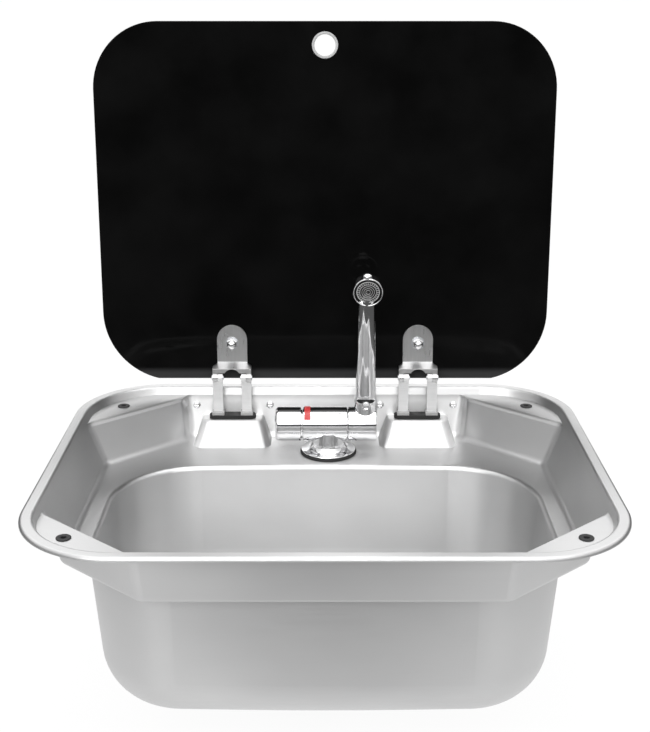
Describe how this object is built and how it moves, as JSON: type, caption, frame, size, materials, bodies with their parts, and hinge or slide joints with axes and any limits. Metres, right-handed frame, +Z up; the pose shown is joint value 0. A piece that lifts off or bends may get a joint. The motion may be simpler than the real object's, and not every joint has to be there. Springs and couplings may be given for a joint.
{
  "type": "recessed vehicle sink with glass lid",
  "caption": "Built-in pressed steel sink with a recessed rim, rectangular bowl, dark glass lid on lift-and-turn hinges, and a folding single-knob tap beneath it.",
  "frame": {"origin": "centre of the rim's outline, on the worktop's top surface", "axes": "+Z up, -Y towards the user, +X to the user's right; the lid stands open at the back"},
  "size_m": [0.5, 0.4222, 0.6121],
  "materials": {
    "pressed_steel": "satin brushed stainless sheet",
    "seal_rubber": "matt black foam rubber",
    "buffer_rubber": "matt black rubber",
    "smoked_glass": "dark tempered glass, gloss",
    "grey_plastic": "light grey moulding",
    "bright_metal": "bright plated",
    "zinc_steel": "zinc plated",
    "gasket_rubber": "black rubber",
    "chrome": "polished chrome",
    "red_mark": "red",
    "aerator_plastic": "dark grey moulding",
    "black_plastic": "black moulding",
    "hinge_steel": "satin stainless strip",
    "pad_rubber": "thin black pad"
  },
  "bodies": {
    "sink": {"sink_bowl": "pressed_steel", "rim_seal": "seal_rubber", "ledge_buffers": "buffer_rubber", "tap_gasket": "gasket_rubber", "tap_body": "chrome", "tap_index_mark": "red_mark", "tap_shelf_washer": "zinc_steel", "tap_shank_nut": "black_plastic", "inlet_cold": "grey_plastic", "inlet_hot": "grey_plastic", "waste_strainer": "bright_metal", "waste_seal": "gasket_rubber", "waste_body": "black_plastic", "waste_screw": "zinc_steel", "guide_bushes_left": "grey_plastic", "slot_collar_left": "gasket_rubber", "hinge_carrier_left": "zinc_steel", "carrier_screws_left": "bright_metal", "carrier_nuts_left": "zinc_steel", "guide_bushes_right": "grey_plastic", "slot_collar_right": "gasket_rubber", "hinge_carrier_right": "zinc_steel", "carrier_screws_right": "bright_metal", "carrier_nuts_right": "zinc_steel"},
    "hinge_slides": {"hinge_legs_left": "hinge_steel", "hinge_legs_right": "hinge_steel", "hinge_pins_left": "zinc_steel", "hinge_pins_right": "zinc_steel"},
    "lid": {"lid_glass": "smoked_glass", "finger_grommet": "grey_plastic", "lid_bracket_left": "hinge_steel", "lid_bracket_right": "hinge_steel", "bracket_pad_left": "pad_rubber", "bracket_pad_right": "pad_rubber", "lid_bolts": "bright_metal", "lid_washers": "zinc_steel", "lid_cap_nuts": "bright_metal"},
    "spout": {"spout_hub": "chrome", "spout_tube": "chrome", "spout_head": "chrome", "aerator": "aerator_plastic", "spout_end_cap": "chrome", "spout_grub_cap": "chrome"},
    "knob": {"tap_knob": "chrome"}
  },
  "joints": [
    {"name": "hinge_lift", "type": "slide", "parent": "sink", "child": "hinge_slides", "axis": [0, 0, -1], "range_m": [0, 0.0326]},
    {"name": "lid_turn", "type": "hinge", "parent": "hinge_slides", "child": "lid", "pos_m": [0, 0.176, 0.018], "axis": [1, 0, 0], "range_deg": [0, 94.5]},
    {"name": "spout_fold", "type": "hinge", "parent": "sink", "child": "spout", "pos_m": [0.0415, 0.142, -0.0205], "axis": [1, 0, 0], "range_deg": [0, 90]},
    {"name": "knob_turn", "type": "hinge", "parent": "sink", "child": "knob", "pos_m": [-0.035, 0.142, -0.0205], "axis": [1, 0, 0], "range_deg": [-50, 50]}
  ],
  "couplings": [
    {"joint": "hinge_lift", "follows": "lid_turn", "m_per_rad": 0.019705},
    {"joint": "spout_fold", "follows": "lid_turn", "ratio": 0.952}
  ]
}
